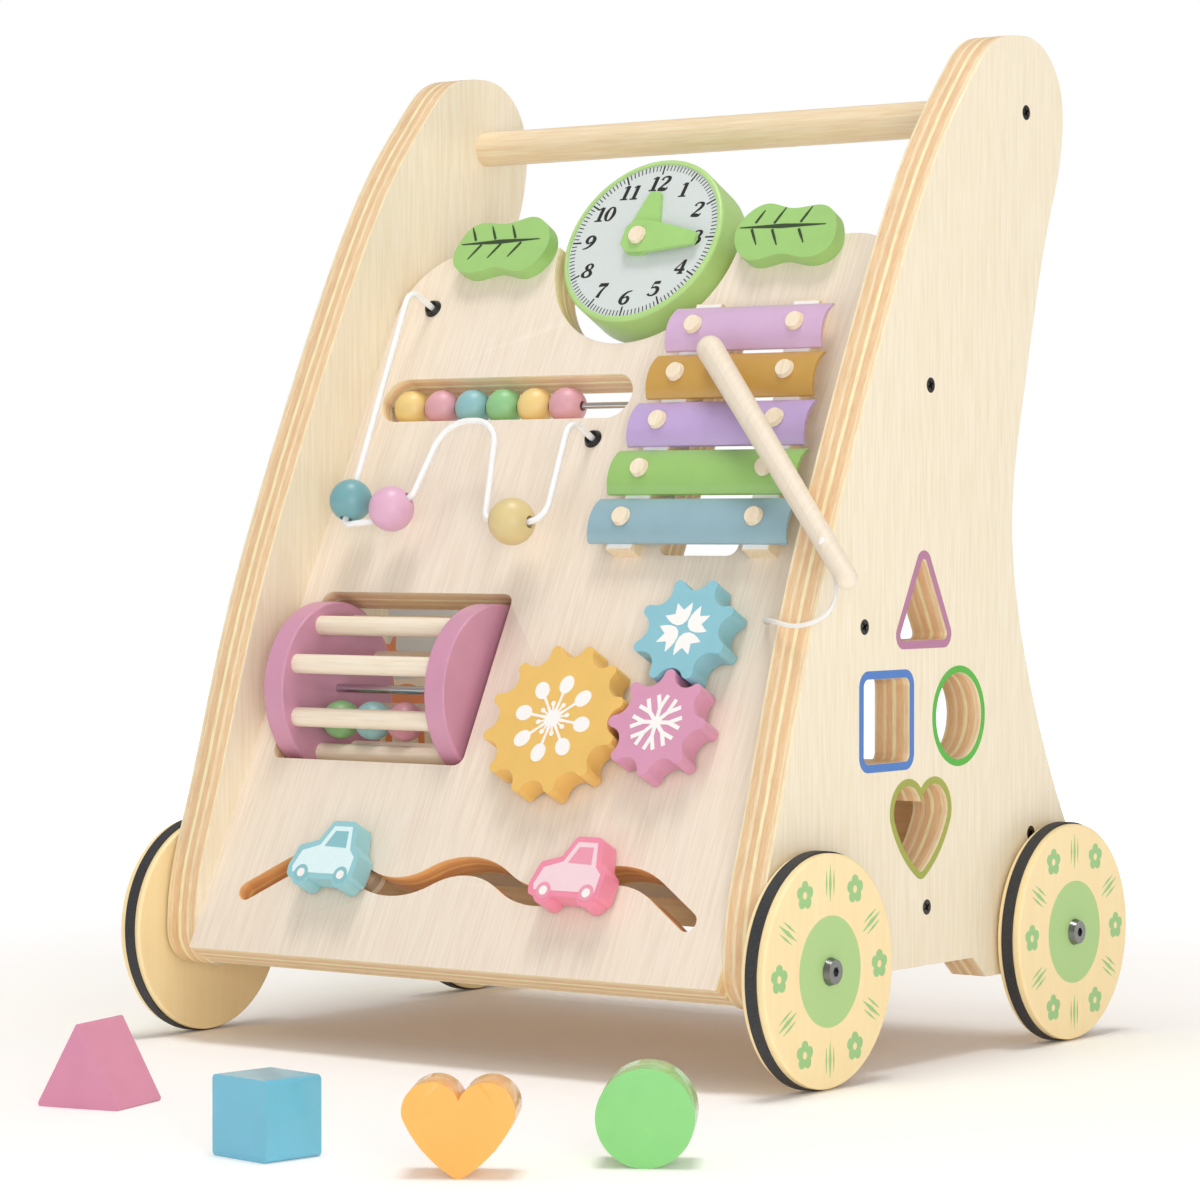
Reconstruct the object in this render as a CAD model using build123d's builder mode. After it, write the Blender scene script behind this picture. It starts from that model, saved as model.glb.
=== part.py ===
"""Wooden activity baby walker: two plywood sides, a leaning play panel, four wheels and its toys.

X points to the walker's right as seen from the front, Y to the back where the child stands, Z up.
The origin is on the floor, midway between the four wheels.
"""
from build123d import *
from math import atan, cos, degrees, pi, radians, sin, tan
import os

os.makedirs("parts", exist_ok=True)

# ---- driving dimensions, in millimetres and degrees ----
PLY = 18.0                  # thickness of the sides and of the play panel
SIDE_OUTER = 164.0          # outer face of each side, from the middle
SIDE_INNER = SIDE_OUTER - PLY
FOOT_Z = 33.5               # underside of the sides
GAP = 0.3                   # play between pieces that move past each other

WHEEL_R = 50.0
WHEEL_Y = 102.3             # half of the wheelbase
WHEEL_IN = 166.2            # inner face of a wheel
WHEEL_OUT = 178.0
TYRE_IN = 168.9             # the rubber ring's band across the rim
TYRE_OUT = 174.3
BOLT_R = 3.0
BOLT_HEAD = 2.6             # height of a bolt's head

HANDLE_Y = 81.4
HANDLE_Z = 423.0
HANDLE_R = 8.5

PANEL_TILT = 27.0           # lean of the play panel from the vertical
PANEL_FOOT = (0, -140.0, 43.4)
PANEL_LENGTH = 364.0

SCREW_R = 1.8
SCREW_HEAD_R = 3.4
SCREW_LENGTH = 24.0

CLOCK_X = -6.0
CLOCK_S = 362.5
CLOCK_R = 43.5
CLOCK_FRONT = 6.0
NOTCH_R = 52.0

CHIME_X = 72.0
CHIME_FIRST_S = 213.5
CHIME_STEP = 24.4
CHIME_WIDTH = 22.0
CHIME_LONGEST = 107.0
CHIME_SHORTER = 5.6
RAIL_TOP = 8.0

ABACUS_S = 282.8
ABACUS_LEFT = -136.5
ABACUS_RIGHT = 10.5
ABACUS_HEIGHT = 23.0
ABACUS_BEAD_R = 9.0
ABACUS_FIRST_X = -124.5
ABACUS_STEP = 18.5

DRUM_LEFT = -134.0
DRUM_RIGHT = -22.0
DRUM_LOW = 95.5
DRUM_HIGH = 181.0
DRUM_S = 138.2
DRUM_H = -14.8
DRUM_DISC_R = 40.3
DRUM_DOWELS = 8

GEAR_BACK = 1.5
GEAR_FRONT = 13.5
GEAR_S = 114.2
YELLOW_X = 31.7
PINK_X = 87.3
BLUE_S = 158.8

SLOT_CREST = 48.0           # top of each wave of the car slot
SLOT_WAVE = 82.0            # from crest to crest
SLOT_DROP = 12.0            # from crest to valley
SLOT_END = 122.5
SLOT_WIDTH = 9.0

SHAPE_PLAY = 0.8            # the blocks are this much smaller than their holes, all round
LOOSE_PLAY = {"square": 2.9, "heart": 1.5}     # except these, which are loose fits
HOLE_CORNER = {"triangle": 2.4, "square": 3.4}      # radii of the holes' corners
BLOCK_CORNER = {"triangle": 1.2, "square": 2.0}     # and of the blocks'

# ---- planes ----
tilt = radians(PANEL_TILT)
panel_face = Plane(origin=PANEL_FOOT, x_dir=(1, 0, 0), z_dir=(0, -cos(tilt), sin(tilt)))


def panel_plane(h):
    """The plane parallel to the play panel's face, h in front of it."""
    return panel_face.offset(h)


def on_panel(x, s, h):
    """A point at x across the panel, s up along it and h in front of its face."""
    return panel_face.from_local_coords(Vector(x, s, h))


def side_plane(x):
    """The vertical plane at x, with local axes Y and Z, that extrudes towards +X."""
    return Plane(origin=(x, 0, 0), x_dir=(0, 1, 0), z_dir=(1, 0, 0))


def save(builder, label):
    builder.part.label = label
    export_step(builder.part, f"parts/{label}.step")


# ---- screws: drawn first, because the boards are cut to fit them ----
PANEL_SCREW_S = (171.8, 289.5)
SCREW_SPOTS = [(HANDLE_Y, HANDLE_Z), (-3.2, 68.6), (86.8, 95.5)]
SCREW_SPOTS += [(on_panel(0, s, -PLY / 2).Y, on_panel(0, s, -PLY / 2).Z) for s in PANEL_SCREW_S]

with BuildPart() as screw_blanks:
    for sign in (-1, 1):
        for y, z in SCREW_SPOTS:
            with BuildSketch(Plane(origin=(sign * SIDE_OUTER, y, z), x_dir=(0, 0, 1), z_dir=(0, 1, 0))):
                with BuildLine():
                    Polyline(
                        (0, 0),
                        (SCREW_HEAD_R, 0),
                        (SCREW_R, -sign * 2.0),
                        (SCREW_R, -sign * SCREW_LENGTH),
                        (0, -sign * (SCREW_LENGTH + 2)),
                        close=True,
                    )
                make_face()
            revolve(axis=Axis((sign * SIDE_OUTER, y, z), (1, 0, 0)))

with BuildPart() as panel_screws:
    add(screw_blanks.part)
    for sign in (-1, 1):
        with BuildSketch(side_plane(sign * SIDE_OUTER)):
            with Locations(*SCREW_SPOTS):
                Rectangle(4.2, 1.0, rotation=30)
                Rectangle(1.0, 4.2, rotation=30)
        extrude(amount=-sign * 1.2, mode=Mode.SUBTRACT)
save(panel_screws, "panel_screws")

# ---- wheels, tyres, bolts and washers ----
corners = {
    "front_left": (-1, -WHEEL_Y),
    "front_right": (1, -WHEEL_Y),
    "rear_left": (-1, WHEEL_Y),
    "rear_right": (1, WHEEL_Y),
}

with BuildPart() as wheel_bolts:
    for sign, y in corners.values():
        with BuildSketch(side_plane(sign * 150.0)):
            with Locations((y, WHEEL_R)):
                Circle(BOLT_R)
        extrude(amount=sign * (WHEEL_OUT + GAP - 150.0))
        with BuildSketch(side_plane(sign * (WHEEL_OUT + GAP))):
            with Locations((y, WHEEL_R)):
                Circle(6.0)
        extrude(amount=sign * BOLT_HEAD, taper=18)
        with BuildSketch(side_plane(sign * (WHEEL_OUT + GAP + BOLT_HEAD))):
            with Locations((y, WHEEL_R)):
                RegularPolygon(2.2, 6)
        extrude(amount=-sign * 1.8, mode=Mode.SUBTRACT)
save(wheel_bolts, "wheel_bolts")

with BuildPart() as wheel_washers:
    for sign, y in corners.values():
        with BuildSketch(side_plane(sign * SIDE_OUTER)):
            with Locations((y, WHEEL_R)):
                Circle(9.0)
                Circle(BOLT_R, mode=Mode.SUBTRACT)
        extrude(amount=sign * (WHEEL_IN - GAP - SIDE_OUTER))
save(wheel_washers, "wheel_washers")


def wheel(sign, y):
    """A wooden disc with a groove for its rubber ring."""
    with BuildPart() as disc:
        with BuildSketch(side_plane(sign * WHEEL_IN)):
            with Locations((y, WHEEL_R)):
                Circle(WHEEL_R - 0.8)
                Circle(BOLT_R + 0.05, mode=Mode.SUBTRACT)
        extrude(amount=sign * (WHEEL_OUT - WHEEL_IN))
        rims = disc.edges().filter_by(GeomType.CIRCLE).group_by(SortBy.RADIUS)[-1]
        fillet(rims, 1.2)
        with BuildSketch(side_plane(sign * TYRE_IN)):
            with Locations((y, WHEEL_R)):
                Circle(WHEEL_R)
                Circle(WHEEL_R - 4.0, mode=Mode.SUBTRACT)
        extrude(amount=sign * (TYRE_OUT - TYRE_IN), mode=Mode.SUBTRACT)
    return disc


def tyre(sign, y):
    """The rubber ring in a wheel's groove."""
    with BuildPart() as ring:
        with BuildSketch(side_plane(sign * TYRE_IN)):
            with Locations((y, WHEEL_R)):
                Circle(WHEEL_R)
                Circle(WHEEL_R - 4.0, mode=Mode.SUBTRACT)
        extrude(amount=sign * (TYRE_OUT - TYRE_IN))
    return ring


for corner, (sign, y) in corners.items():
    save(wheel(sign, y), f"wheel_{corner}")
    save(tyre(sign, y), f"tyre_{corner}")


# ---- shape-sorter outlines, shared by the holes and the blocks ----
def heart_outline(width, height):
    """A heart about the middle of its box, with its rounded point down."""
    side = width / 2
    top = height / 2
    notch = (0, top - 0.19 * height)
    widest = (side, top - 0.37 * height)
    with BuildLine() as half:
        Line((0, -top), notch)
        ThreePointArc(notch, (0.5 * side, top), widest)
        ThreePointArc(widest, (0.64 * side, top - 0.70 * height), (0, -top))
    with BuildSketch() as heart:
        add(half.line)
        make_face()
        mirror(about=Plane.YZ)
        fillet(heart.vertices().sort_by(Axis.Y)[0], 3.0)
    return heart.sketch


def shape_outline(kind, trim, corner):
    """One of the four sorter shapes about its own middle, made smaller by trim all round."""
    with BuildSketch() as shape:
        if kind == "triangle":
            base = 42.0 - 3.4 * trim
            height = 38.0 - 3.0 * trim
            Polygon((-base / 2, -height / 2), (base / 2, -height / 2), (0, height / 2), align=None)
            fillet(shape.vertices(), corner[kind])
        elif kind == "square":
            RectangleRounded(37.0 - 2 * trim, 36.5 - 2 * trim, corner[kind])
        elif kind == "circle":
            Circle(19.2 - trim)
        else:
            add(heart_outline(44.0 - 2 * trim, 38.5 - 2 * trim))
    return shape.sketch


SORTER_SPOTS = {
    "triangle": (-6.0, 204.7),
    "square": (-36.2, 151.5),
    "circle": (23.4, 151.5),
    "heart": (-8.2, 103.2),
}


# ---- sides ----
def side(x):
    """One plywood side, standing on its inner face's plane at x."""
    with BuildPart() as board:
        with BuildSketch(side_plane(x)):
            with BuildLine():
                Spline(
                    (-135, 52), (-122.5, 106), (-99, 180), (-61, 272), (-20.5, 355), (14, 411),
                    (38, 439), (77, 457.3),
                    tangents=[(0, 1), (1, 0)],
                )
                ThreePointArc((77, 457.3), (105, 447.2), (114.6, 423))
                Spline(
                    (114.6, 423), (102, 375), (81.4, 302), (69.5, 238), (82, 174.5), (118, 99.5),
                    (135, 52),
                    tangents=[(0, -1), (0, -1)],
                )
                ThreePointArc((135, 52), (130.2, 38.8), (118, FOOT_Z))
                Polyline((118, FOOT_Z), (47.5, FOOT_Z), (36, 43), (-47, 43), (-58, FOOT_Z),
                         (-118, FOOT_Z))
                ThreePointArc((-118, FOOT_Z), (-130.2, 38.8), (-135, 52))
            make_face()
        extrude(amount=PLY)
        add(screw_blanks.part, mode=Mode.SUBTRACT)
        add(wheel_bolts.part, mode=Mode.SUBTRACT)
    return board


save(side(-SIDE_OUTER), "side_panel_left")

with BuildPart() as side_panel_right:
    add(side(SIDE_INNER).part)
    for kind, spot in SORTER_SPOTS.items():
        with BuildSketch(side_plane(SIDE_INNER)):
            with Locations(spot):
                add(shape_outline(kind, 0, HOLE_CORNER))
        extrude(amount=PLY, mode=Mode.SUBTRACT)
save(side_panel_right, "side_panel_right")

# ---- handle and boards between the sides ----
with BuildPart() as handle_bar:
    with BuildSketch(side_plane(-SIDE_INNER)):
        with Locations((HANDLE_Y, HANDLE_Z)):
            Circle(HANDLE_R)
    extrude(amount=2 * SIDE_INNER)
    add(screw_blanks.part, mode=Mode.SUBTRACT)
save(handle_bar, "handle_bar")

BOARD = 12.0
with BuildPart() as bottom_board:
    with BuildSketch(Plane.XY.offset(62.6)):
        Polygon((-SIDE_INNER, -86), (SIDE_INNER, -86), (SIDE_INNER, 80.8), (-SIDE_INNER, 80.8),
                align=None)
    extrude(amount=BOARD)
    add(screw_blanks.part, mode=Mode.SUBTRACT)
save(bottom_board, "bottom_board")

with BuildPart() as back_board:
    with BuildSketch(Plane.XZ.offset(-80.8)):
        Polygon((-SIDE_INNER, 62.6), (SIDE_INNER, 62.6), (SIDE_INNER, 126), (-SIDE_INNER, 126),
                align=None)
    extrude(amount=-BOARD)
    add(screw_blanks.part, mode=Mode.SUBTRACT)
save(back_board, "back_board")

# ---- car slot: crest arcs and valley arcs of one radius, with straight ends ----
half_wave = SLOT_WAVE / 2
SLOT_R = (half_wave ** 2 + SLOT_DROP ** 2) / (4 * SLOT_DROP)
SLOT_SLOPE = 2 * atan(SLOT_DROP / half_wave)
crest_centre = SLOT_CREST - SLOT_R
valley_s = SLOT_CREST - SLOT_DROP
inflection_s = SLOT_CREST - SLOT_DROP / 2
first_bend = 1.25 * SLOT_WAVE
end_s = inflection_s - (SLOT_END - first_bend) * tan(SLOT_SLOPE)


def slot_outline():
    """The wavy slot as a sketch on the panel, from its centre line."""
    with BuildLine() as wave:
        Line((-SLOT_END, end_s), (-first_bend, inflection_s))
        for k in range(-2, 3):
            middle = k * half_wave
            left = (middle - half_wave / 2, inflection_s)
            right = (middle + half_wave / 2, inflection_s)
            top = SLOT_CREST if k % 2 == 0 else valley_s
            ThreePointArc(left, (middle, top), right)
        Line((first_bend, inflection_s), (SLOT_END, end_s))
    with BuildSketch() as band:
        trace(wave.line.edges(), SLOT_WIDTH)
        with Locations((-SLOT_END, end_s), (SLOT_END, end_s)):
            Circle(SLOT_WIDTH / 2)
    return band.sketch


# ---- gears ----
TOOTH_PITCH_R = 22.15 / 8           # pitch radius for each tooth
ADDENDUM = 3.1
DEDENDUM = 3.5
TIP_R = 2.8                         # radius of a tooth's round tip
PIN_R = 4.0


def polar(radius, angle):
    return Vector(radius * cos(angle), radius * sin(angle))


def gear_outline(teeth):
    """Round tips and round valleys that run into each other, about the middle."""
    pitch_r = TOOTH_PITCH_R * teeth
    half_step = pi / teeth
    tip_centre_r = pitch_r + ADDENDUM - TIP_R
    root_r = pitch_r - DEDENDUM
    reach = tip_centre_r * cos(half_step)
    valley_r = (tip_centre_r ** 2 + root_r ** 2 - 2 * root_r * reach - TIP_R ** 2) / (
        2 * (TIP_R - root_r + reach))
    with BuildSketch() as outline:
        with BuildLine():
            for tooth in range(teeth):
                angle = 2 * tooth * half_step
                tip_centre = polar(tip_centre_r, angle)
                blend = TIP_R / (TIP_R + valley_r)
                before = tip_centre + (polar(root_r + valley_r, angle - half_step) - tip_centre) * blend
                after = tip_centre + (polar(root_r + valley_r, angle + half_step) - tip_centre) * blend
                ThreePointArc(before, polar(pitch_r + ADDENDUM, angle), after)
                following = tip_centre.rotate(Axis.Z, degrees(2 * half_step))
                start = following + (polar(root_r + valley_r, angle + half_step) - following) * blend
                ThreePointArc(after, polar(root_r, angle + half_step), start)
        make_face()
    return outline.sketch


def gear(teeth, x, s, turn):
    """A thick wooden gear with a blind bore from the back."""
    with BuildPart() as cog:
        with BuildSketch(panel_plane(GEAR_BACK)):
            with Locations(Location((x, s, 0), (0, 0, turn))):
                add(gear_outline(teeth))
        extrude(amount=GEAR_FRONT - GEAR_BACK)
        with BuildSketch(panel_plane(GEAR_BACK)):
            with Locations((x, s)):
                Circle(PIN_R + 0.05)
        extrude(amount=8.0, mode=Mode.SUBTRACT)
    return cog


gear_spots = {
    "gear_yellow": (12, YELLOW_X, GEAR_S, 15.0),
    "gear_pink": (8, PINK_X, GEAR_S, 0.0),
    "gear_blue": (8, PINK_X, BLUE_S, 22.5),
}
for name, (teeth, x, s, turn) in gear_spots.items():
    save(gear(teeth, x, s, turn), name)

with BuildPart() as gear_pins:
    with BuildSketch(panel_plane(-10)):
        with Locations(*[(x, s) for teeth, x, s, turn in gear_spots.values()]):
            Circle(PIN_R)
    extrude(amount=GEAR_BACK + 7.6 + 10)
save(gear_pins, "gear_pins")

# ---- chimes: two rails, five arched bars and their pins ----
CHIME_SPLAY = 4.75          # each rail leans this far from the middle line
PIN_HALF_TOP = 27.6
chime_s = [CHIME_FIRST_S + i * CHIME_STEP for i in range(5)]


def pin_half(s):
    """Half the distance between the two pins of a bar at height s."""
    return PIN_HALF_TOP + (chime_s[-1] - s) * tan(radians(CHIME_SPLAY))


with BuildPart() as chime_rails:
    for sign in (-1, 1):
        low = (CHIME_X + sign * pin_half(200), 200)
        high = (CHIME_X + sign * pin_half(325), 325)
        with BuildSketch(panel_plane(0)):
            Polygon((low[0] - 7, low[1]), (low[0] + 7, low[1]), (high[0] + 7, high[1]),
                    (high[0] - 7, high[1]), align=None)
        extrude(amount=RAIL_TOP)
    pin_spots = [(CHIME_X + sign * pin_half(s), s) for s in chime_s for sign in (-1, 1)]
    with BuildSketch(panel_plane(1)):
        with Locations(*pin_spots):
            Circle(2.5)
    extrude(amount=RAIL_TOP, mode=Mode.SUBTRACT)
save(chime_rails, "chime_rails")

ARCH_RISE = 4.0
BAR_THICK = 1.5
with BuildPart() as chime_pins:
    with BuildSketch(panel_plane(1)):
        with Locations(*pin_spots):
            Circle(2.5)
    extrude(amount=RAIL_TOP + ARCH_RISE + BAR_THICK - 1 + 0.2)
    with BuildSketch(panel_plane(RAIL_TOP + ARCH_RISE + BAR_THICK + 0.2)):
        with Locations(*pin_spots):
            Circle(4.6)
    extrude(amount=2.2, taper=18)
save(chime_pins, "chime_pins")


def chime_bar(index):
    """An arched metal bar across both rails."""
    s = chime_s[index]
    length = CHIME_LONGEST - index * CHIME_SHORTER
    half = CHIME_WIDTH / 2
    section = Plane(
        origin=on_panel(CHIME_X - length / 2, s, RAIL_TOP),
        x_dir=panel_face.y_dir,
        z_dir=(1, 0, 0),
    )
    with BuildPart() as bar:
        with BuildSketch(section):
            with BuildLine():
                ThreePointArc((-half, 0), (0, ARCH_RISE), (half, 0))
                Line((half, 0), (half, BAR_THICK))
                ThreePointArc((half, BAR_THICK), (0, ARCH_RISE + BAR_THICK), (-half, BAR_THICK))
                Line((-half, BAR_THICK), (-half, 0))
            make_face()
        extrude(amount=length)
        with BuildSketch(panel_plane(RAIL_TOP)):
            with Locations((CHIME_X - pin_half(s), s), (CHIME_X + pin_half(s), s)):
                Circle(3.2)
        extrude(amount=10, mode=Mode.SUBTRACT)
    return bar


bar_names = ["chime_bar_blue", "chime_bar_green", "chime_bar_purple", "chime_bar_ochre",
             "chime_bar_lilac"]
for index, name in enumerate(bar_names):
    save(chime_bar(index), name)

# ---- abacus ----
with BuildPart() as abacus_rod:
    with BuildSketch(Plane(origin=on_panel(ABACUS_LEFT - 7, ABACUS_S, -PLY / 2),
                           x_dir=panel_face.y_dir, z_dir=(1, 0, 0))):
        Circle(1.5)
    extrude(amount=ABACUS_RIGHT - ABACUS_LEFT + 14)
save(abacus_rod, "abacus_rod")


def bead(centre, radius, axis, bore):
    """A wooden ball with a bore along the axis, flat at both ends of the bore."""
    seat = Plane(origin=centre, z_dir=axis)
    with BuildPart() as ball:
        with Locations(seat):
            Sphere(radius)
            Cylinder(bore, 4 * radius, mode=Mode.SUBTRACT)
    return ball


bead_names = ["abacus_bead_1", "abacus_bead_2", "abacus_bead_3", "abacus_bead_4",
              "abacus_bead_5", "abacus_bead_6"]
for index, name in enumerate(bead_names):
    centre = on_panel(ABACUS_FIRST_X + index * ABACUS_STEP, ABACUS_S, -PLY / 2)
    save(bead(centre, ABACUS_BEAD_R, (1, 0, 0), 2.4), name)

# ---- wire maze ----
WIRE_R = 1.5
WIRE_H = 20.0
wire_points = [
    (-124, 333, -9), (-124, 333, WIRE_H), (-116.9, 206, WIRE_H), (-101.5, 207.6, WIRE_H),
    (-81.5, 221.3, WIRE_H), (-75.6, 260, WIRE_H), (-45.7, 260, WIRE_H), (-34.5, 208, WIRE_H),
    (-0.5, 207.5, WIRE_H), (-4, 260.4, WIRE_H), (-4, 260.4, -9),
]
wire_bends = [8, 3, 6, 6, 16, 16, 6, 9, 8]
with BuildPart() as maze_wire:
    with BuildLine() as wire_route:
        FilletPolyline(*[on_panel(*p) for p in wire_points], radius=wire_bends)
    with BuildSketch(wire_route.line ^ 0):
        Circle(WIRE_R)
    sweep()
save(maze_wire, "maze_wire")

with BuildPart() as maze_grommets:
    with BuildSketch(panel_plane(0)):
        with Locations(wire_points[0][:2], wire_points[-1][:2]):
            Circle(4.6)
            Circle(WIRE_R, mode=Mode.SUBTRACT)
    extrude(amount=2.0, taper=30)
save(maze_grommets, "maze_grommets")


def along(start, end, distance):
    """The point at a distance from start towards end, both given on the panel, and its axis."""
    a = on_panel(*start)
    b = on_panel(*end)
    axis = (b - a).normalized()
    return a + axis * distance, axis


MAZE_BORE_R = 2.9
teal_centre, teal_axis = along(wire_points[2], wire_points[1], 12.8)
pink_centre, pink_axis = along(wire_points[3], wire_points[4], 12.0)
yellow_centre, yellow_axis = along(wire_points[7], wire_points[8], 15.5)
save(bead(teal_centre, 10.0, teal_axis, MAZE_BORE_R), "maze_bead_teal")
save(bead(pink_centre, 10.6, pink_axis, MAZE_BORE_R), "maze_bead_pink")
save(bead(yellow_centre, 10.8, yellow_axis, MAZE_BORE_R), "maze_bead_yellow")

# ---- drum: axle, two discs, eight dowels and three loose balls ----
drum_centre = on_panel(0, DRUM_S, DRUM_H)
DISC_THICK = 11.5
LEFT_DISC_X = -132.0
RIGHT_DISC_X = -37.5
AXLE_R = 2.0

with BuildPart() as drum_axle:
    with BuildSketch(side_plane(-144.0)):
        with Locations((drum_centre.Y, drum_centre.Z)):
            Circle(AXLE_R)
    extrude(amount=132.0)
save(drum_axle, "drum_axle")

with BuildPart() as drum_discs:
    for x in (LEFT_DISC_X, RIGHT_DISC_X):
        with BuildSketch(side_plane(x)):
            with Locations((drum_centre.Y, drum_centre.Z)):
                Circle(DRUM_DISC_R)
                Circle(AXLE_R + 0.05, mode=Mode.SUBTRACT)
        extrude(amount=DISC_THICK)
    fillet(drum_discs.edges().filter_by(GeomType.CIRCLE).group_by(SortBy.RADIUS)[-1], 1.0)
save(drum_discs, "drum_discs")

with BuildPart() as drum_dowels:
    with BuildSketch(side_plane(LEFT_DISC_X + DISC_THICK)):
        with Locations((drum_centre.Y, drum_centre.Z)):
            with PolarLocations(32.0, DRUM_DOWELS, start_angle=22.5):
                Circle(4.5)
    extrude(amount=RIGHT_DISC_X - LEFT_DISC_X - DISC_THICK)
save(drum_dowels, "drum_dowels")

BALL_R = 9.0
with BuildPart() as rattle_balls:
    for x in (-110, -91, -72):
        with Locations((x, drum_centre.Y - 10.5, drum_centre.Z - 14)):
            Sphere(BALL_R)
save(rattle_balls, "rattle_balls")

# ---- cars: a body and a peg with its back disc ----
PEG_R = 3.7


def car_outline():
    """A small pickup facing left, about its peg."""
    with BuildSketch() as car:
        with BuildLine():
            Polyline((-19.5, -12), (-20.5, -7), (-17.3, 3.5), (-7, 6.5), (-1.8, 16), (11.5, 16),
                     (14.5, 4), (18.2, 0.5), (17.6, -12), (-19.5, -12))
        make_face()
        fillet(car.vertices(), 2.4)
        with Locations((-11.8, -11), (11.0, -11)):
            Circle(4.6)
    return car.sketch


def car(x, s, drop):
    """A car whose outline sits lower than its peg by drop."""
    with BuildPart() as body:
        with BuildSketch(panel_plane(GEAR_BACK)):
            with Locations((x, s - drop)):
                add(car_outline())
        extrude(amount=11.0)
        with BuildSketch(panel_plane(GEAR_BACK)):
            with Locations((x, s)):
                Circle(PEG_R)
        extrude(amount=6.0, mode=Mode.SUBTRACT)
    return body


def car_peg(x, s):
    with BuildPart() as peg:
        with BuildSketch(panel_plane(GEAR_BACK + 6.0)):
            with Locations((x, s)):
                Circle(PEG_R)
        extrude(amount=-(GEAR_BACK + 6.0 + PLY + 0.6))
        with BuildSketch(panel_plane(-PLY - 0.6)):
            with Locations((x, s)):
                Circle(8.0)
        extrude(amount=-3.0)
    return peg


def crest_point(crest_x, x):
    """The height of the slot's centre line at x, on the crest arc about crest_x."""
    return crest_centre + (SLOT_R ** 2 - (x - crest_x) ** 2) ** 0.5


car_spots = {
    "blue": (-71.3, crest_point(-SLOT_WAVE, -71.3), 1.6),
    "pink": (65.0, crest_point(SLOT_WAVE, 65.0), 0.0),
}
for colour, (x, s, drop) in car_spots.items():
    save(car(x, s, drop), f"car_{colour}")
    save(car_peg(x, s), f"car_peg_{colour}")

# ---- clock, its cross bar and the two leaves ----
with BuildPart() as clock_crossbar:
    with BuildSketch(panel_plane(-PLY)):
        with Locations((CLOCK_X, 357)):
            RectangleRounded(150, 14, 3)
    extrude(amount=-12)
save(clock_crossbar, "clock_crossbar")

CLOCK_PIN_R = 2.5
with BuildPart() as clock_body:
    with BuildSketch(panel_plane(-PLY)):
        with Locations((CLOCK_X, CLOCK_S)):
            Circle(CLOCK_R)
    extrude(amount=CLOCK_FRONT + PLY)
    fillet(clock_body.edges().filter_by(GeomType.CIRCLE), 1.5)
    with BuildSketch(panel_plane(CLOCK_FRONT)):
        with Locations((CLOCK_X, CLOCK_S)):
            Circle(41.0)
    extrude(amount=-0.8, mode=Mode.SUBTRACT)
    with BuildSketch(panel_plane(0)):
        with Locations((CLOCK_X, CLOCK_S)):
            Circle(CLOCK_PIN_R)
    extrude(amount=CLOCK_FRONT, mode=Mode.SUBTRACT)
save(clock_body, "clock_body")

DIAL = CLOCK_FRONT - 0.8
HAND_THICK = 2.0
with BuildPart() as clock_pin:
    with BuildSketch(panel_plane(0)):
        with Locations((CLOCK_X, CLOCK_S)):
            Circle(CLOCK_PIN_R)
    extrude(amount=DIAL + 3 * GAP + 2 * HAND_THICK)
    with BuildSketch(panel_plane(DIAL + 3 * GAP + 2 * HAND_THICK)):
        with Locations((CLOCK_X, CLOCK_S)):
            Circle(4.6)
    extrude(amount=1.8, taper=20)
save(clock_pin, "clock_pin")


def clock_hand(h, length, heading):
    """A wedge-shaped hand, widest at the pin and pointing along its heading."""
    with BuildPart() as hand:
        with BuildSketch(panel_plane(h)) as blade:
            with Locations(Location((CLOCK_X, CLOCK_S, 0), (0, 0, heading))):
                Polygon((-8.5, -4.5), (-4.5, -8.5), (8, -8), (length, -3), (length, 3), (8, 8),
                        (-4.5, 8.5), (-8.5, 4.5), align=None)
            fillet(blade.vertices(), 1.8)
            with Locations((CLOCK_X, CLOCK_S)):
                Circle(CLOCK_PIN_R + 0.05, mode=Mode.SUBTRACT)
        extrude(amount=HAND_THICK)
    return hand


save(clock_hand(DIAL + GAP, 25.0, 88), "hour_hand")
save(clock_hand(DIAL + 2 * GAP + HAND_THICK, 33.5, -4.5), "minute_hand")


def leaf_outline(turn):
    with BuildSketch() as leaf:
        with BuildLine():
            Spline((-27.5, 0), (-15.5, 13), (0, 12), (14.5, 15), (27.5, 1), (15.5, -14.5), (0, -12),
                   (-15.5, -14.5), periodic=True)
        make_face()
        if turn:
            mirror(about=Plane.YZ, mode=Mode.REPLACE)
    return leaf.sketch


with BuildPart() as leaves:
    for x, turn in ((-86.8, False), (75.6, True)):
        with BuildSketch(panel_plane(0)):
            with Locations((x, 362.0)):
                add(leaf_outline(turn))
        extrude(amount=8)
save(leaves, "leaves")

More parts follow.
